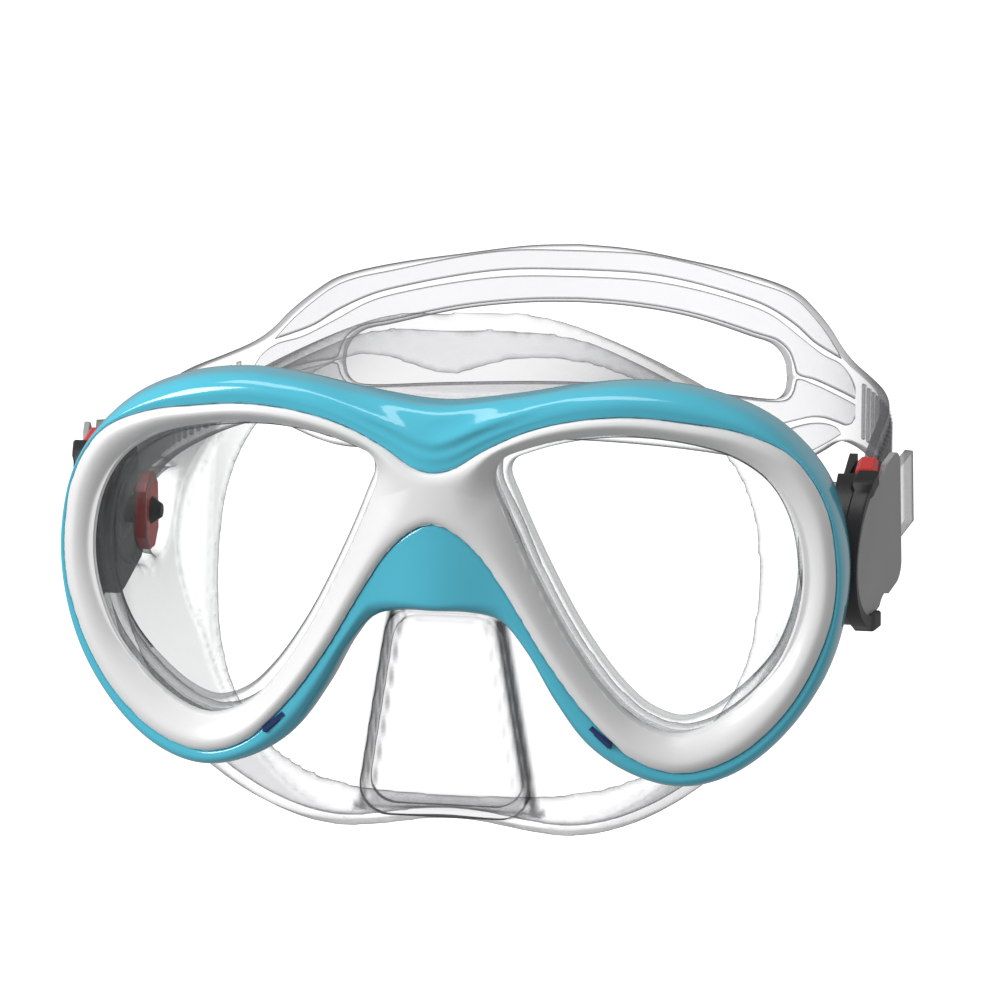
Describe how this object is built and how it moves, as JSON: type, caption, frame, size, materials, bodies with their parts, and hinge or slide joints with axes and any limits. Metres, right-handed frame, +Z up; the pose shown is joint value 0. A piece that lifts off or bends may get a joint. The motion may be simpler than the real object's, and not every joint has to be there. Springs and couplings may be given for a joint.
{
  "type": "diving mask",
  "caption": "Two-lens diving mask with a wrapped frame, clear silicone skirt with a nose pocket, swivel quick-release buckles and a split head strap.",
  "frame": {"origin": "midway between the wearer's eyes, on the datum plane of the face seal (the wearer's face is behind it)", "axes": "+Y points back at the wearer's face, +Z up, +X to the wearer's left; the lenses face -Y. Nodes named left are on the wearer's left, +X."},
  "size_m": [0.1842, 0.1823, 0.1097],
  "materials": {
    "frame_gloss": "gloss turquoise polycarbonate",
    "bezel_satin": "satin white polycarbonate",
    "lens_glass": "clear tempered glass",
    "clear_silicone": "clear polished silicone",
    "black_plastic": "satin black acetal",
    "grey_plastic": "fine-grained grey plastic",
    "red_plastic": "gloss red acetal",
    "washer_plastic": "natural nylon",
    "steel": "stainless wire"
  },
  "bodies": {
    "mask": {"main_frame": "frame_gloss", "front_bezel": "bezel_satin", "lens_left": "lens_glass", "lens_right": "lens_glass", "skirt": "clear_silicone", "pivot_pin_left": "black_plastic", "pivot_retainer_left": "red_plastic", "swivel_washer_left": "washer_plastic", "pivot_pin_right": "black_plastic", "pivot_retainer_right": "red_plastic", "swivel_washer_right": "washer_plastic"},
    "strap": {"strap_band": "clear_silicone"},
    "buckle_left": {"buckle_housing_left": "black_plastic", "cover_plate_left": "grey_plastic", "lever_pin_left": "steel", "lever_spring_left": "steel", "roller_axle_left": "steel"},
    "lever_left": {"release_lever_left": "red_plastic"},
    "roller_left": {"strap_roller_left": "black_plastic"},
    "buckle_right": {"buckle_housing_right": "black_plastic", "cover_plate_right": "grey_plastic", "lever_pin_right": "steel", "lever_spring_right": "steel", "roller_axle_right": "steel"},
    "lever_right": {"release_lever_right": "red_plastic"},
    "roller_right": {"strap_roller_right": "black_plastic"}
  },
  "joints": [
    {"name": "strap_swivel", "type": "hinge", "parent": "mask", "child": "strap", "pos_m": [0, -0.009, 0.002], "axis": [1, 0, 0], "range_deg": [-45, 60]},
    {"name": "buckle_left_swivel", "type": "hinge", "parent": "mask", "child": "buckle_left", "pos_m": [0.0797, -0.009, 0.002], "axis": [1, 0, 0], "range_deg": [-45, 60]},
    {"name": "buckle_right_swivel", "type": "hinge", "parent": "mask", "child": "buckle_right", "pos_m": [-0.0797, -0.009, 0.002], "axis": [1, 0, 0], "range_deg": [-45, 60]},
    {"name": "release_left", "type": "hinge", "parent": "buckle_left", "child": "lever_left", "pos_m": [0.0831, -0.0168, 0.0002], "axis": [0, 0.225, -0.9744], "range_deg": [0, 7], "stiffness_Nm_per_rad": 0.03, "springref_deg": -6.88},
    {"name": "roller_left_spin", "type": "hinge", "parent": "buckle_left", "child": "roller_left", "pos_m": [0.08525, 0.00269, 0.0047], "axis": [0, -0.225, 0.9744], "continuous": true},
    {"name": "release_right", "type": "hinge", "parent": "buckle_right", "child": "lever_right", "pos_m": [-0.0831, -0.0168, 0.0002], "axis": [0, -0.225, 0.9744], "range_deg": [0, 7], "stiffness_Nm_per_rad": 0.03, "springref_deg": -6.88},
    {"name": "roller_right_spin", "type": "hinge", "parent": "buckle_right", "child": "roller_right", "pos_m": [-0.08525, 0.00269, 0.0047], "axis": [0, -0.225, 0.9744], "continuous": true}
  ],
  "couplings": [
    {"joint": "buckle_left_swivel", "follows": "strap_swivel", "ratio": 1},
    {"joint": "buckle_right_swivel", "follows": "strap_swivel", "ratio": 1}
  ]
}
